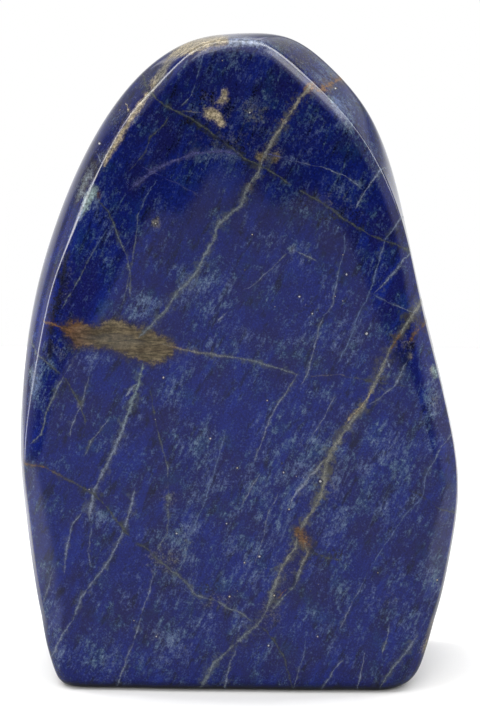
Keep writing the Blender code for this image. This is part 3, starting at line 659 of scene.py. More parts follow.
def stone_skin():
    """The dense skin's points and depths behind the front, in millimetres, and its faces."""
    loop = Loop(AROUND)
    runs = ring_runs(loop)
    grid = skin(loop, runs)
    number = runs.shape[1]
    full = loop.front_length + loop.wall_length + loop.back_length
    opposite = np.clip((full - runs) / loop.back_length, 0.0, 1.0) * loop.front_length
    depth = np.maximum(grid[..., 1] - sharp_front(loop, opposite)[1], 0.0)
    depth = np.where(runs < loop.front_length, 0.0, depth)
    grid = np.concatenate((grid, depth[..., None]), axis=2)
    points = []
    rings = []
    for k in range(number):
        share = 1.0
        if k < FRONT_RINGS - 1:
            share = 1.0 - (1.0 - (k + 1) / FRONT_RINGS) ** RING_CROWDING
        elif k >= number - BACK_RINGS + 1:
            share = 1.0 - ((k - (number - BACK_RINGS)) / BACK_RINGS) ** RING_CROWDING
        ring = grid[::points_to_skip(share), k]
        rings.append(list(range(len(points), len(points) + len(ring))))
        points.extend(ring)
    faces = []
    for k in range(number - 1):
        near, far = rings[k], rings[k + 1]
        if len(far) <= len(near):
            faces.extend(face[::-1] for face in band_faces(near, far))
        else:
            faces.extend(band_faces(far, near))
    front_y = front_face(HEART_X, HEART_Z)
    back_y = back_face(HEART_X, HEART_Z)
    for ring, y in ((rings[0], front_y), (rings[-1][::-1], back_y)):
        faces.extend((ring[i - 1], ring[i], len(points)) for i in range(len(ring)))
        points.append((HEART_X, y, HEART_Z, y - front_y))
    points = np.array(points)
    return points[:, :3], points[:, 3], faces


def camera_axes():
    """The camera's right, up and backward directions, and its place, in millimetres."""
    turn = np.radians(CAMERA_TURN)
    lift = np.radians(CAMERA_LIFT)
    back = np.array((np.sin(turn) * np.cos(lift), -np.cos(turn) * np.cos(lift), np.sin(lift)))
    right = np.array((np.cos(turn), np.sin(turn), 0.0))
    up = np.cross(right, -back)
    return right, up, back, np.array(LOOK_AT) + CAMERA_DISTANCE * back


def in_photo(points):
    """Where points fall in the photo, in its pixels."""
    right, up, back, eye = camera_axes()
    off = points - eye
    away = -(off @ back)
    across = FOCAL_PIXELS * (off @ right) / away
    above = FOCAL_PIXELS * (off @ up) / away
    return np.stack((0.5 * (PHOTO_WIDTH - 1) + across, 0.5 * (PHOTO_HEIGHT - 1) - above), axis=1)


def carried_forward(points, depth, slant_x=0.0, slant_z=0.0):
    """Where a sheet through each point comes out on the front, in the photo's pixels."""
    return in_photo(points - depth[:, None] * np.array((slant_x, 1.0, slant_z)))


def route_of(pixels):
    """A flat list of the photo's pixels as rows of x and y."""
    return np.array(pixels, float).reshape(-1, 2)


def seen(name):
    """A colour of the table as linear red, green and blue for a shader."""
    share = np.array(COLOURS[name]) / 255.0
    linear = np.where(share <= 0.04045, share / 12.92, ((share + 0.055) / 1.055) ** 2.4)
    return linear / LIGHT_GAIN


def blended(first, last, share):
    """Colours from the first to the last, by each point's share."""
    return seen(first) + (seen(last) - seen(first)) * share[:, None]


def along_route(points, route):
    """Signed distance from a route, the share of the way along it, and its length."""
    distance = np.full(len(points), 1e3)
    side = np.zeros(len(points))
    run = np.zeros(len(points))
    start = 0.0
    for a, b in zip(route[:-1], route[1:]):
        step = b - a
        length = np.hypot(*step)
        step = step / length
        to = points - a
        along = np.clip(to @ step, 0.0, length)
        off = to - along[:, None] * step
        away = np.hypot(off[:, 0], off[:, 1])
        nearer = away < distance
        distance = np.where(nearer, away, distance)
        side = np.where(nearer, np.sign(step[0] * to[:, 1] - step[1] * to[:, 0]), side)
        run = np.where(nearer, start + along, run)
        start += length
    return distance * side, run / start, start


def inside_outline(points, outline):
    """Distance to a closed outline, positive inside it."""
    distance, _, _ = along_route(points, np.vstack((outline, outline[:1])))
    inside = np.zeros(len(points), bool)
    for a, b in zip(outline, np.roll(outline, -1, axis=0)):
        crosses = (a[1] > points[:, 1]) != (b[1] > points[:, 1])
        with np.errstate(divide="ignore", invalid="ignore"):
            x = a[0] + (points[:, 1] - a[1]) / (b[1] - a[1]) * (b[0] - a[0])
        inside ^= crosses & (points[:, 0] < x)
    return np.abs(distance) * np.where(inside, 1.0, -1.0)


def filled(route):
    """The corners of a route and the thirds between them."""
    legs = zip(route[:-1], route[1:])
    return np.vstack([a + (b - a) * t for a, b in legs for t in (0, 0.34, 0.67, 1)])


def routes_apart(one, other):
    """The least distance between two routes, from points along each."""
    gaps = filled(one)[:, None] - filled(other)[None]
    return np.hypot(gaps[..., 0], gaps[..., 1]).min()


def share_layers(routes):
    """Puts each vein in the first layer whose veins all lie far enough from it."""
    layers = []
    for k, route in enumerate(routes):
        for layer in layers:
            if all(routes_apart(route, routes[m]) > VEIN_APART for m in layer):
                layer.append(k)
                break
        else:
            layers.append([k])
    return layers


def vein_fields(points, depth):
    """For each layer: distance, half width and strength at each point, and the colour."""
    routes = [route_of(vein[-1]) for vein in VEINS]
    fields = []
    for layer in share_layers(routes):
        values = np.zeros((len(points), 3))
        values[:, 0] = VEIN_REACH
        tints = np.zeros((len(points), 3))
        for k in layer:
            _, width, strength, first, last, slant_x, slant_z, _ = VEINS[k]
            flat = carried_forward(points, depth, slant_x, slant_z)
            distance, share, length = along_route(flat, routes[k])
            nearer = np.abs(distance) < np.abs(values[:, 0])
            end = np.minimum(share, 1.0 - share) * length
            ends = smooth_step(end, 0.0, min(END_FADE, END_SHARE * length))
            fade = 1.0 - smooth_step(np.abs(distance), *(part * VEIN_REACH for part in REACH_FADE))
            half = 0.5 * width * (END_WIDTH + (1.0 - END_WIDTH) * ends)
            values[nearer, 0] = distance[nearer]
            values[nearer, 1] = half[nearer]
            values[nearer, 2] = (strength * ends * fade)[nearer]
            tints[nearer] = blended(first, last, smooth_step(share, *COLOUR_CHANGE))[nearer]
        values[:, :2] *= PIXEL
        fields.append((values, tints))
    return fields


def patch_field(points, depth):
    """Distance inside the nearest patch, its raggedness, and its colour."""
    flat = in_photo(points)
    values = np.zeros((len(points), 3))
    values[:, 0] = PATCH_OUTSIDE
    tints = np.zeros((len(points), 3))
    for _, left, right, ragged, outline in PATCHES:
        route = route_of(outline)
        inside = PIXEL * inside_outline(flat, route) - 0.5 * np.maximum(depth - PATCH_DEPTH, 0.0)
        nearer = inside > values[:, 0]
        low, high = route[:, 0].min(), route[:, 0].max()
        share = smooth_step(flat[:, 0], low, low + 0.4 * (high - low))
        values[nearer, 0] = inside[nearer]
        values[nearer, 1] = ragged
        tints[nearer] = blended(left, right, share)[nearer]
    return values, tints


def cloud_field(points, depth, clouds, rest):
    """How thick the cloudy places are at each point, fading to rest away from the front."""
    flat = in_photo(points)
    amount = np.zeros(len(points))
    for x, y, radius_x, radius_y, strength in clouds:
        far = ((flat[:, 0] - x) / radius_x) ** 2 + ((flat[:, 1] - y) / radius_y) ** 2
        amount = np.maximum(amount, strength * np.exp(-far))
    away = smooth_step(depth, *CLOUD_FADE)
    return amount * (1.0 - away) + rest * away


def painted_glint_field(points, depth):
    """How far each point lies from the nearest painted glint, across and up, and its radius."""
    flat = in_photo(points)
    painted_glints = np.array(PAINTED_GLINTS)
    off = flat[:, None] - painted_glints[None, :, :2]
    nearest = np.argmin(np.hypot(off[..., 0], off[..., 1]), axis=1)
    off = PIXEL * off[np.arange(len(points)), nearest]
    radius = painted_glints[nearest, 2] * (depth < PATCH_DEPTH)
    return np.column_stack((off, radius))


def add_values(mesh, name, values):
    """Stores one vector at each point of a mesh."""
    attribute = mesh.attributes.new(name, "FLOAT_VECTOR", "POINT")
    attribute.data.foreach_set("vector", np.ascontiguousarray(values, dtype=np.float32).ravel())


class Wires:
    """Short forms for making and joining shader nodes."""

    def __init__(self, tree):
        self.tree = tree

    def node(self, kind, inputs=None, **settings):
        made = self.tree.nodes.new(kind)
        for name, value in settings.items():
            setattr(made, name, value)
        for key, value in (inputs or {}).items():
            self.put(made.inputs[key], value)
        return made

    def put(self, socket, value):
        """Joins a socket to another or gives it a value, where a colour gets a full alpha."""
        if isinstance(value, bpy.types.NodeSocket):
            self.tree.links.new(value, socket)
        elif socket.type == "RGBA":
            socket.default_value = (*value, 1.0)
        else:
            socket.default_value = value

    def math(self, operation, *values):
        return self.node("ShaderNodeMath", dict(enumerate(values)), operation=operation).outputs[0]

    def chain(self, operation, value, *others):
        """One operation on a value and each of the others in turn."""
        for other in others:
            value = self.math(operation, value, other)
        return value

    def times(self, *values):
        return self.chain("MULTIPLY", *values)

    def plus(self, *values):
        return self.chain("ADD", *values)

    def minus(self, *values):
        return self.chain("SUBTRACT", *values)

    def largest(self, *values):
        return self.chain("MAXIMUM", *values)

    def step(self, value, low, high, to_low=0.0, to_high=1.0):
        inputs = {"Value": value, "From Min": low, "From Max": high, "To Min": to_low, "To Max": to_high}
        made = self.node("ShaderNodeMapRange", inputs, interpolation_type="SMOOTHSTEP")
        return made.outputs["Result"]

    def noise(self, place, size, detail=2.0, rough=0.5, warp=0.0):
        inputs = {"Vector": place, "Scale": 1.0 / size, "Detail": detail, "Roughness": rough}
        inputs["Distortion"] = warp
        return self.node("ShaderNodeTexNoise", inputs, noise_dimensions="3D").outputs["Fac"]

    def swing(self, *settings):
        """A noise that swings about zero."""
        return self.minus(self.noise(*settings), 0.5)

    def threads(self, place, size):
        """Thin curling lines, where a noise crosses its middle value."""
        off = self.math("ABSOLUTE", self.swing(place, size, 4.0, 0.6, 0.6))
        return self.step(off, 0.028, 0.006)

    def mix(self, share, first, second):
        made = self.node("ShaderNodeMix", data_type="RGBA")
        for key, value in (("Factor", share), (6, first), (7, second)):
            self.put(made.inputs[key], value)
        return made.outputs[2]

    def over(self, below, mask, strength, tint):
        """A tint laid over a colour where the mask is, at a strength."""
        return self.mix(self.times(mask, strength), below, tint)

    def scaled(self, vector, scale):
        made = self.node("ShaderNodeVectorMath", {0: vector, "Scale": scale}, operation="SCALE")
        return made.outputs[0]

    def drawn(self, place, turn, stretch):
        """Places turned across the front by degrees and drawn out, so that noise is streaked."""
        turned = {"Vector": place, "Rotation": (0.0, np.radians(turn), 0.0), "Scale": stretch}
        return self.node("ShaderNodeMapping", turned).outputs[0]

    def attribute(self, name):
        return self.node("ShaderNodeAttribute", attribute_name=name).outputs["Vector"]

    def split(self, vector):
        return self.node("ShaderNodeSeparateXYZ", {0: vector}).outputs


def cleared_tree(owner):
    """The emptied shader tree of a material or a world."""
    owner.use_nodes = True
    owner.node_tree.nodes.clear()
    return Wires(owner.node_tree)


def new_object(name, data):
    """An object of the scene with the data."""
    made = bpy.data.objects.new(name, data)
    bpy.context.scene.collection.objects.link(made)
    return made


# What every vein layer is given alike: how it strays, its grit, its breaks, its width's
# swell, its rust, its gaps and the smoke beside it
WEAR = ("Sway", "Fine", "Broken", "Swell", "Rust", "Gaps", "Smoke")


def vein_layer_group():
    """One layer of veins over a colour: a core with broken edges, a dark rim and a faint halo."""
    group = bpy.data.node_groups.new("vein_layer", "ShaderNodeTree")
    kinds = {"Colour": "Color", "Values": "Vector", "Tint": "Vector"}
    for name in ("Colour", "Mask", "Values", "Tint", *WEAR):
        kind = kinds.get(name, "Float")
        group.interface.new_socket(name, in_out="INPUT", socket_type=f"NodeSocket{kind}")
    for name in ("Colour", "Mask"):
        kind = kinds.get(name, "Float")
        group.interface.new_socket(name, in_out="OUTPUT", socket_type=f"NodeSocket{kind}")
    w = Wires(group)
    given = w.node("NodeGroupInput").outputs
    distance, half, strength = w.split(given["Values"])[:3]
    away = w.math("ABSOLUTE", w.plus(distance, given["Sway"]))
    share = w.math("DIVIDE", away, w.largest(w.times(half, given["Swell"]), 0.05))
    present = w.step(strength, 0.0, 0.35)
    weak = w.plus(w.times(w.minus(1.0, strength), 0.8), given["Gaps"])
    red, _, blue = w.split(given["Tint"])[:3]
    warm = w.step(w.minus(red, blue), 0.0, 0.05)
    broken = w.times(given["Broken"], w.step(warm, 0.0, 1.0, 0.55, 1.0))
    level = w.plus(w.minus(1.2, share, weak), broken)
    core = w.times(w.step(level, 0.0, 1.15), present)
    cloud = w.minus(1.0, w.times(share, 0.22), weak)
    smoke = w.times(w.step(w.plus(cloud, given["Smoke"]), 0.25, 1.25), present)
    dust = w.plus(cloud, w.times(given["Fine"], 1.3))
    dust = w.times(w.step(dust, 0.75, 1.35), present)
    tint = w.mix(w.times(given["Rust"], warm), given["Tint"], seen("rusty"))
    grit = w.times(w.step(given["Fine"], -0.5, 0.5, 0.45, 1.6), w.step(level, 0.2, 1.6, 0.7, 1.25))
    colour = w.over(given["Colour"], smoke, 0.6, w.scaled(tint, 0.42))
    colour = w.over(colour, dust, 0.55, w.scaled(tint, 0.9))
    colour = w.over(colour, core, 0.88, w.scaled(tint, grit))
    mask = w.largest(given["Mask"], core)
    w.node("NodeGroupOutput", {"Colour": colour, "Mask": mask})
    return group


# How far the grain and the patches' streaks turn across the front, in degrees, and how noise
# is scaled along the turned axes
GRAIN_TURN = -25.0
GRAIN_STRETCH = (1.0, 0.6, 0.3)
PATCH_TURN = -8.0
PATCH_STRETCH = (0.2, 0.5, 1.0)
# The pyrite grains' spacing, and where the painted shade towards the crown and the painted
# contact shadow along the base's bottom edge lie, as heights in millimetres
GRAIN_APART = 1.5
CROWN_PAINTED_SHADE = (78.0, 112.0)
BASE_PAINTED_SHADOW = (0.2, 2.6)


def lapis_material(layers):
    """Polished lapis: blue ground, mottling, patches, veins and pyrite, with painted glints and painted
    shade at the crown and the base, all by nodes.
    """
    material = bpy.data.materials.new("polished_lapis_detail")
    w = cleared_tree(material)
    metres = w.node("ShaderNodeTexCoord").outputs["Object"]
    place = w.scaled(metres, 1.0 / MM)
    # The stone's grain runs steeply up to the right, so streaks are noise drawn out that way
    grain = w.drawn(w.drawn(place, GRAIN_TURN, (1.0, 1.0, 1.0)), 0.0, GRAIN_STRETCH)
    pale_amount, tan_amount, dark_amount = w.split(w.attribute("clouds"))[:3]
    gold_amount = w.split(w.attribute("grains"))[0]

    # Ground blues: broad patches, then streaks and cells of lighter, darker and greener blue
    broad = w.noise(place, 11.0, 4.0)
    middle = w.noise(grain, 3.0, 5.0, 0.6)
    colour = w.mix(w.step(broad, 0.38, 0.62), (0.0046, 0.0108, 0.130), (0.0080, 0.0098, 0.091))
    colour = w.mix(w.step(middle, 0.45, 0.70), colour, (0.0070, 0.0175, 0.176))
    teal = w.noise(place, 6.0, 5.0, 0.65)
    colour = w.over(colour, w.step(teal, 0.52, 0.72), 0.5, (0.0110, 0.0400, 0.120))
    murk = w.noise(grain, 1.8, 5.0, 0.65)
    colour = w.over(colour, w.step(murk, 0.48, 0.34), 0.75, (0.0045, 0.0070, 0.030))
    cell = w.swing(place, 0.38, 3.0, 0.7)
    colour = w.scaled(colour, w.plus(0.93, w.times(cell, 2.0)))
    salt = w.step(w.noise(place, 0.34, 2.0, 0.6), 0.60, 0.72)
    pepper = w.step(w.noise(grain, 0.30, 2.0, 0.6), 0.40, 0.28)
    colour = w.over(colour, salt, 0.5, (0.038, 0.060, 0.200))
    colour = w.over(colour, pepper, 0.6, (0.0040, 0.0045, 0.022))

    # Pale lace: ragged flecks and threads, thick where the cloudy places are
    veil = w.swing(place, 4.5, 4.0, 0.6)
    dense = w.plus(w.times(veil, 2.0), w.times(pale_amount, 0.8))
    ragged_flecks = w.swing(place, 1.0, 6.0, 0.75, 0.7)
    drawn_flecks = w.swing(grain, 0.7, 5.0, 0.7)
    level = w.plus(w.times(ragged_flecks, 4.0), w.times(drawn_flecks, 3.2))
    level = w.plus(level, w.times(cell, 2.8), dense)
    pale_mask = w.step(level, 0.15, 1.45)
    pale_tint = w.mix(w.step(teal, 0.4, 0.6), (0.060, 0.086, 0.225), (0.062, 0.118, 0.190))
    colour = w.over(colour, pale_mask, 0.85, pale_tint)
    bright = w.step(level, 1.0, 2.1)
    colour = w.over(colour, bright, 0.85, (0.21, 0.27, 0.33))
    wanted = w.plus(dense, w.times(drawn_flecks, 2.4), -0.15)
    curls = w.times(w.threads(place, 1.4), w.step(wanted, 0.1, 0.9))
    wisps = w.times(w.threads(grain, 1.1), w.step(wanted, 0.0, 0.9))
    lace = w.largest(curls, w.times(wisps, 0.8))
    colour = w.over(colour, lace, 0.75, (0.135, 0.185, 0.300))

    # Olive and tan smoke
    olive_level = w.times(w.swing(place, 1.0, 6.0, 0.75), 4.0)
    olive_level = w.plus(olive_level, w.times(cell, 2.0), tan_amount)
    olive_mask = w.times(w.step(olive_level, 0.30, 1.5), w.step(tan_amount, 0.0, 0.5))
    olive_tint = w.mix(w.step(cell, -0.12, 0.16), 0.35 * seen("olive"), seen("tan"))
    colour = w.over(colour, olive_mask, 0.7, olive_tint)

    # Dark specks
    dark_level = w.times(w.swing(place, 0.8, 4.0, 0.7), 4.0)
    dark_level = w.plus(w.minus(dark_level, w.times(cell, 2.0)), dark_amount)
    dark_mask = w.step(dark_level, 0.55, 1.3)
    colour = w.over(colour, dark_mask, 0.85, (0.0080, 0.0080, 0.018))
    # Painted shade: the colour darkens towards the crown, where less light reaches the front, and along
    # the base's bottom edge as a painted contact shadow
    height = w.split(place)[2]
    colour = w.scaled(colour, w.step(height, *CROWN_PAINTED_SHADE, 1.0, 0.68))
    colour = w.scaled(colour, w.step(height, *BASE_PAINTED_SHADOW, 0.15, 1.0))

    # Patches: dusty ragged edges, streaks drawn out lengthwise, rust and blue showing through
    inside, ragged = w.split(w.attribute("patch"))[:2]
    rag = w.swing(place, 1.5, 6.0, 0.72)
    level_place = w.drawn(place, PATCH_TURN, PATCH_STRETCH)
    lines = w.noise(level_place, 0.5, 5.0, 0.7)
    reach = w.plus(inside, w.times(rag, ragged, 4.6))
    reach = w.plus(reach, w.times(cell, ragged, 2.4))
    streaked = w.step(ragged, 0.6, 0.85)
    reach = w.plus(reach, w.times(drawn_flecks, streaked, 1.6))
    patch_mask = w.times(w.step(reach, -0.6, 0.6), w.step(lines, 0.22, 0.42, 0.6, 1.0))
    halo = w.times(w.step(w.plus(reach, w.times(olive_level, 0.5)), -1.8, 0.2), streaked)
    colour = w.over(colour, halo, 0.6, 0.3 * seen("leaf"))
    grit = w.plus(1.0, w.times(cell, 1.6))
    shade = w.step(w.mix(streaked, w.noise(place, 0.7, 4.0, 0.7), lines), 0.34, 0.66, 0.45, 1.5)
    shade = w.times(shade, w.step(w.noise(place, 2.2, 3.0, 0.6), 0.36, 0.62, 0.7, 1.2))
    patch_shade = w.times(shade, grit)
    plain_tint = w.attribute("patch_tint")
    red, green = w.split(plain_tint)[:2]
    reddish = w.times(streaked, w.step(w.minus(red, green), 0.022, 0.038, 0.2, 1.0))
    patch_tint = w.scaled(plain_tint, patch_shade)
    rust = w.step(w.noise(level_place, 1.3, 5.0, 0.65), 0.47, 0.58)
    grey = w.step(w.noise(level_place, 2.6, 4.0), 0.50, 0.62)
    cracks = w.step(w.noise(level_place, 0.8, 5.0, 0.7), 0.42, 0.30)
    patch_tint = w.over(patch_tint, w.times(rust, reddish), 0.55, 0.9 * seen("rusty"))
    patch_tint = w.over(patch_tint, w.times(grey, streaked), 0.2, 0.7 * seen("sage"))
    patch_tint = w.over(patch_tint, w.times(cracks, streaked), 0.8, 0.25 * seen("leaf"))
    colour = w.mix(patch_mask, colour, patch_tint)

    # Veins, layer on layer
    sway = w.times(w.swing(place, 2.2, 4.0, 0.6), 1.1)
    fine = w.times(w.swing(place, 0.28, 3.0, 0.7), 2.4)
    broken = w.times(w.swing(place, 0.8, 5.0, 0.75), 4.6)
    swell = w.step(w.noise(place, 2.0, 2.0), 0.3, 0.7, 0.55, 1.35)
    rust = w.times(w.step(w.noise(place, 3.2, 4.0, 0.6), 0.58, 0.68), 0.8)
    smoke = w.times(w.swing(place, 1.5, 5.0, 0.7), 4.5)
    gaps = w.step(w.noise(place, 4.5, 3.0, 0.6), 0.50, 0.28, 0.0, 0.5)
    group = vein_layer_group()
    mask = patch_mask
    for k in range(layers):
        made = w.node("ShaderNodeGroup", node_tree=group)
        given = {"Colour": colour, "Mask": mask, "Values": w.attribute(f"vein_{k}")}
        given["Tint"] = w.attribute(f"vein_tint_{k}")
        given.update(zip(WEAR, (sway, fine, broken, swell, rust, gaps, smoke)))
        for name, value in given.items():
            w.put(made.inputs[name], value)
        colour, mask = made.outputs["Colour"], made.outputs["Mask"]

    # Pyrite grains, each in a small dark bed
    grains = w.node("ShaderNodeTexVoronoi", {"Vector": place, "Scale": 1.0 / GRAIN_APART})
    pick = w.split(grains.outputs["Color"])
    wanted = w.plus(pick[0], w.times(gold_amount, 0.13))
    size = w.times(w.plus(w.times(pick[1], 0.6), 0.4), w.step(wanted, 0.95, 1.0))
    near = w.plus(grains.outputs["Distance"], w.times(cell, 0.12))
    bed = w.step(near, w.times(size, 0.30), w.times(size, 0.12))
    gold_mask = w.step(near, w.times(size, 0.15), w.times(size, 0.07))
    shown = w.math("GREATER_THAN", size, 0.05)
    gold_mask = w.times(gold_mask, shown)
    colour = w.over(colour, w.times(bed, shown), 0.8, (0.012, 0.011, 0.012))
    colour = w.mix(gold_mask, colour, (0.70, 0.64, 0.50))

    # Painted glints: near-white painted highlights on single grains, each in a dark rim
    across, up, radius = w.split(w.attribute("painted_glints"))[:3]
    far = w.math("SQRT", w.plus(w.times(across, across), w.times(up, up)))
    far = w.plus(far, w.times(cell, 0.5))
    near = w.step(far, w.times(radius, 2.4), w.times(radius, 1.1))
    colour = w.over(colour, near, 0.6, (0.012, 0.011, 0.016))
    near = w.step(far, radius, w.times(radius, 0.4))
    colour = w.mix(near, colour, (0.50, 0.49, 0.50))

    # Finish: a high gloss, a little duller in the veins and patches
    rough = w.step(mask, 0.0, 1.0, 0.07, 0.2)
    rough = w.plus(rough, w.times(w.noise(place, 3.0, 3.0), 0.04))
    relief = w.times(mask, -0.6)
    relief = w.plus(relief, w.times(mask, 0.2, broken))
    relief = w.plus(relief, w.times(w.noise(place, 1.6, 2.0), 0.10))
    bump = w.node("ShaderNodeBump", {"Height": relief, "Strength": 0.25, "Distance": 0.02 * MM})
    shader = w.node("ShaderNodeBsdfPrincipled", {
        "Base Color": colour, "Roughness": rough, "Metallic": w.times(gold_mask, 0.35),
        "Normal": bump.outputs[0], "IOR": 1.5,
    })
    w.node("ShaderNodeOutputMaterial", {"Surface": shader.outputs[0]})
    return material


def make_stone():
    """The dense skin with its markings stored at its points."""
    points, depth, faces = stone_skin()
    mesh = bpy.data.meshes.new("lapis_stone_polished")
    mesh.from_pydata((points * MM).tolist(), [], faces)
    mesh.update()
    mesh.shade_smooth()
    fields = vein_fields(points, depth)
    for k, (values, tints) in enumerate(fields):
        add_values(mesh, f"vein_{k}", values)
        add_values(mesh, f"vein_tint_{k}", tints)
    values, tints = patch_field(points, depth)
    add_values(mesh, "patch", values)
    add_values(mesh, "patch_tint", tints)
    kinds = ((PALE_CLOUDS, PALE_REST), (TAN_CLOUDS, TAN_REST), (DARK_CLOUDS, DARK_REST))
    clouds = [cloud_field(points, depth, places, rest) for places, rest in kinds]
    add_values(mesh, "clouds", np.stack(clouds, axis=1))
    gold = cloud_field(points, depth, GRAIN_CLOUDS, GRAIN_REST)
    add_values(mesh, "grains", np.stack((gold, gold, gold), axis=1))
    add_values(mesh, "painted_glints", painted_glint_field(points, depth))
    mesh.materials.append(lapis_material(len(fields)))
    stone = new_object("lapis_stone_polished", mesh)
    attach(stone, "root")
    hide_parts(NODE)


def make_camera():
    """The photo's view, by a long lens that looks slightly down."""
    _, _, back, eye = camera_axes()
    data = bpy.data.cameras.new("camera")
    data.sensor_fit = "VERTICAL"
    data.sensor_height = SENSOR
    data.lens = FOCAL_PIXELS / PHOTO_HEIGHT * SENSOR
    data.clip_start = 0.01
    data.clip_end = 50.0
    camera = new_object("camera", data)
    camera.location = Vector(eye * MM)
    camera.rotation_euler = Vector(back).to_track_quat("Z", "Y").to_euler()
    bpy.context.scene.camera = camera


# The studio: a white table under and in front of the stone, a dark room in front of it, white
# walls at the sides and behind with a greyer one behind the right shoulder, and lamps above.
# Lengths are in metres, and the rest is how bright things look.
TABLE_FRONT = 2.2
TABLE_BACK = 0.5
TABLE_SIDE = 0.3
TABLE_WHITE = 0.31
# How bright the painted pool of light on the table beside the stone looks to every ray but the camera's
TABLE_SIDE_PAINTED_LIGHT = 0.8
TABLE_SEEN = 0.96
TABLE_TINT = (1.0, 0.995, 0.982)
LOW_SUN = 1.6
SUN_ANGLE = 35.0
SUN_FROM = (-0.10, -0.95, 0.42)
STONE_MIDDLE = (0.0, 0.0, 0.06)
ROOM_DARK = 0.03
WALL_WHITE = 0.9
RIGHT_BEHIND = 0.7
CEILING = 1.3
WALL_TOP = 0.3
# A thin ring of light round the stone, just behind it, that lights the ridge line
RING_PLACE = 0.20
RING_WIDTH = 0.10
RING_WHITE = 10.0
# Degrees round from the camera's side between which each wall rises or falls: the side
# walls, which start further round above than below, the right wall, and the grey behind it
SIDE_WALL_LOW = 68.0
SIDE_WALL_HIGH = 90.0
SIDE_WALL_FULL = 100.0
RIGHT_WALL_START = (32.0, 72.0)
RIGHT_WALL_END = (150.0, 105.0)
RIGHT_BEHIND_START = (116.0, 134.0)
# A dim gap in the side walls: its middle, and the half widths of its core and of its edge
GAP_MIDDLE = 128.0
GAP_CORE = 3.0
GAP_EDGE = 9.0


def make_table():
    """A white table top, exposed to pure white where no shadow falls, with a painted pool of light beside
    the stone that only reflections and bounce light see.
    """
    corners = [(-TABLE_SIDE, -TABLE_FRONT, 0.0), (TABLE_SIDE, -TABLE_FRONT, 0.0),
               (TABLE_SIDE, TABLE_BACK, 0.0), (-TABLE_SIDE, TABLE_BACK, 0.0)]
    mesh = bpy.data.meshes.new("table")
    mesh.from_pydata(corners, [], [(0, 1, 2, 3)])
    material = bpy.data.materials.new("white_table")
    w = cleared_tree(material)
    camera_ray = w.node("ShaderNodeLightPath").outputs["Is Camera Ray"]
    x, y = w.split(w.node("ShaderNodeTexCoord").outputs["Object"])[:2]
    # Painted light: a brighter strip of table beside the stone, for every ray but the camera's
    beside = w.times(w.step(w.math("ABSOLUTE", x), 0.05, 0.12), w.step(y, -0.16, -0.06))
    level = w.step(beside, 0.0, 1.0, TABLE_WHITE, TABLE_SIDE_PAINTED_LIGHT)
    seen_white = w.mix(camera_ray, level, TABLE_SEEN * np.array(TABLE_TINT))
    diffuse = w.node("ShaderNodeBsdfDiffuse", {"Color": seen_white})
    w.node("ShaderNodeOutputMaterial", {"Surface": diffuse.outputs[0]})
    mesh.materials.append(material)
    table = new_object("table", mesh)


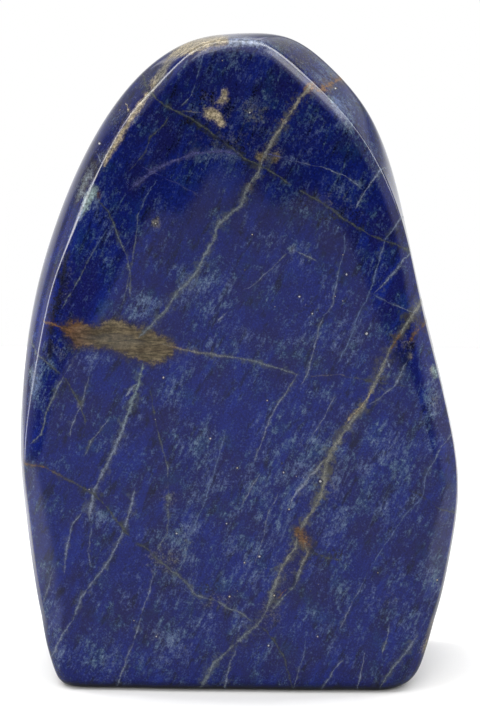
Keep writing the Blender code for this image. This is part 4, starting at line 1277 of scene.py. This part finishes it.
def make_world():
    """White walls at the sides, behind and above, and a dark room in front."""
    world = bpy.data.worlds.new("studio")
    bpy.context.scene.world = world
    w = cleared_tree(world)
    direction = w.node("ShaderNodeTexCoord").outputs["Generated"]
    x, y, z = w.split(direction)[:3]
    sideways = w.math("ARCTAN2", w.math("ABSOLUTE", x), w.times(y, -1.0))
    start = w.step(z, 0.05, 0.25, np.radians(SIDE_WALL_LOW), np.radians(SIDE_WALL_HIGH))
    walls = w.step(sideways, start, np.radians(SIDE_WALL_FULL))
    rightward = w.step(x, 0.0, 0.1)
    right = w.times(w.step(sideways, *map(np.radians, RIGHT_WALL_START)), rightward)
    right = w.times(right, w.step(sideways, *map(np.radians, RIGHT_WALL_END)))
    off = w.math("ABSOLUTE", w.minus(sideways, np.radians(GAP_MIDDLE)))
    gap = w.step(off, np.radians(GAP_CORE), np.radians(GAP_EDGE), 0.35, 1.0)
    ring = w.step(w.math("ABSOLUTE", w.minus(y, RING_PLACE)), RING_WIDTH, 0.4 * RING_WIDTH)
    ring = w.times(ring, w.step(z, -0.25, -0.12), RING_WHITE)
    high = w.step(z, 0.15, 0.35)
    ring = w.times(ring, w.largest(w.minus(1.0, rightward), high))
    ceiling = w.times(w.step(z, 0.45, 0.75), w.step(y, 0.25, 0.05))
    walls = w.times(walls, w.step(z, 0.08, 0.35, 1.0, WALL_TOP))
    walls = w.times(walls, w.step(w.times(rightward, w.step(z, 0.02, 0.2)), 0.0, 1.0, 1.0, 0.4))
    right = w.times(right, w.step(z, 0.3, 0.5, 1.0, 0.4))
    behind = w.times(w.step(sideways, *map(np.radians, RIGHT_BEHIND_START)), rightward)
    behind = w.times(w.step(z, 0.22, 0.36), w.step(z, 0.95, 0.6), behind, RIGHT_BEHIND)
    lit = w.largest(w.times(walls, gap), right, w.times(ceiling, CEILING), behind, ring)
    level = w.plus(ROOM_DARK, w.times(lit, WALL_WHITE - ROOM_DARK))
    camera_ray = w.node("ShaderNodeLightPath").outputs["Is Camera Ray"]
    level = w.largest(level, camera_ray)
    back = w.node("ShaderNodeBackground", {"Color": (1.0, 1.0, 1.0), "Strength": level})
    w.node("ShaderNodeOutputWorld", {"Surface": back.outputs[0]})


def add_softbox(name, place, width, height, brightness):
    """A rectangular soft light that faces the stone's middle, by how bright it looks."""
    data = bpy.data.lights.new(name, "AREA")
    data.shape = "RECTANGLE"
    data.size = width
    data.size_y = height
    data.energy = brightness * np.pi * width * height
    light = new_object(name, data)
    light.location = place
    aim = Vector(place) - Vector(STONE_MIDDLE)
    light.rotation_euler = aim.to_track_quat("Z", "Y").to_euler()
    light.visible_camera = False
    return light


def add_low_sun():
    """Even soft light on the front from low down, which shows in no reflection."""
    data = bpy.data.lights.new("low_sun", "SUN")
    data.energy = LOW_SUN
    data.angle = np.radians(SUN_ANGLE)
    light = new_object("low_sun", data)
    light.rotation_euler = Vector(SUN_FROM).to_track_quat("Z", "Y").to_euler()
    light.visible_glossy = False


# Lamps that only show as reflections, two on the right shoulder and one on the crest: name,
# place, width and height in metres, and how bright they look
SHEEN_LAMPS = (
    ("shoulder", (0.48, -0.11, 0.66), 0.40, 0.40, 1.4),
    ("shoulder_core", (0.46, -0.10, 0.66), 0.24, 0.24, 2.2),
    ("crown", (-0.12, 0.56, 0.62), 0.42, 0.50, 0.8),
)


def make_studio():
    """The table, the walls, the lamps and the way that brightness is shown."""
    make_table()
    make_world()
    add_softbox("above", (-0.22, -0.30, 0.70), 0.36, 0.36, 3.0)
    for lamp in SHEEN_LAMPS:
        add_softbox(*lamp).visible_diffuse = False
    add_low_sun()
    bpy.context.scene.view_settings.view_transform = "Standard"


make_camera()
make_studio()
make_stone()
